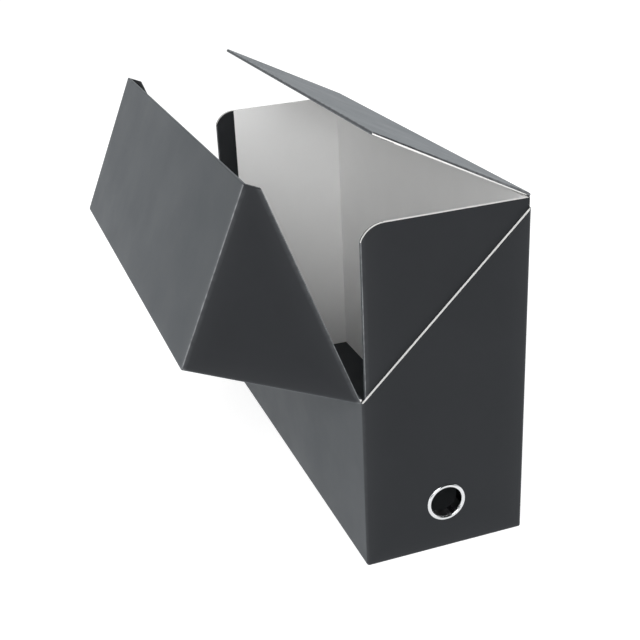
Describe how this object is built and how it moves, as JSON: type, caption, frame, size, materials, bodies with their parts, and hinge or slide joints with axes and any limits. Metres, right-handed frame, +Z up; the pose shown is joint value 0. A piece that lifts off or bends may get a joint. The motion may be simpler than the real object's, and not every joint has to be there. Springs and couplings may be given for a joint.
{
  "type": "document file box",
  "caption": "Upright board file box with a slant-cut lid hinged halfway up its front, an inner top flap and a metal finger ring in the spine end.",
  "frame": {"origin": "centre of the underside of the base", "axes": "+Z up, -X towards the front long side where the lid hinges, -Y towards the spine end with the finger ring"},
  "size_m": [0.2377, 0.3413, 0.3046],
  "materials": {
    "covering_paper": "fine grained charcoal covering paper, slightly glossy",
    "joint_strip": "charcoal hinge strip, matte",
    "lining_paper": "white lining paper, matte",
    "board": "white board, raw at its cut edges",
    "ring": "polished nickel plate"
  },
  "bodies": {
    "case": {"base_board": "board", "base_cover": "covering_paper", "base_liner": "covering_paper", "front_board": "board", "front_cover": "covering_paper", "front_liner": "lining_paper", "front_joint_strip": "joint_strip", "back_board": "board", "back_cover": "covering_paper", "back_liner": "lining_paper", "spine_shell_board": "board", "spine_shell_cover": "covering_paper", "spine_tray_board": "board", "spine_tray_cover": "covering_paper", "spine_tray_liner": "lining_paper", "rear_shell_board": "board", "rear_shell_cover": "covering_paper", "rear_tray_board": "board", "rear_tray_cover": "covering_paper", "rear_tray_liner": "lining_paper", "finger_ring": "ring", "ring_washer": "ring"},
    "lid": {"lid_front_board": "board", "lid_front_cover": "covering_paper", "lid_front_liner": "lining_paper", "lid_joint_strip": "joint_strip", "lid_top_board": "board", "lid_top_cover": "covering_paper", "lid_top_liner": "lining_paper", "spine_wing_board": "board", "spine_wing_cover": "covering_paper", "spine_wing_liner": "lining_paper", "rear_wing_board": "board", "rear_wing_cover": "covering_paper", "rear_wing_liner": "lining_paper"},
    "flap": {"flap_board": "board", "flap_cover": "covering_paper", "flap_liner": "lining_paper"}
  },
  "joints": [
    {"name": "lid_hinge", "type": "hinge", "parent": "case", "child": "lid", "pos_m": [-0.06, 0, 0.128], "axis": [0, -1, 0], "range_deg": [-66.6, 108.4]},
    {"name": "flap_hinge", "type": "hinge", "parent": "case", "child": "flap", "pos_m": [0.0597, 0, 0.24935], "axis": [0, 1, 0], "range_deg": [-33.4, 54.3]}
  ],
  "couplings": [
    {"joint": "flap_hinge", "follows": "lid_hinge", "ratio": 0.5}
  ]
}
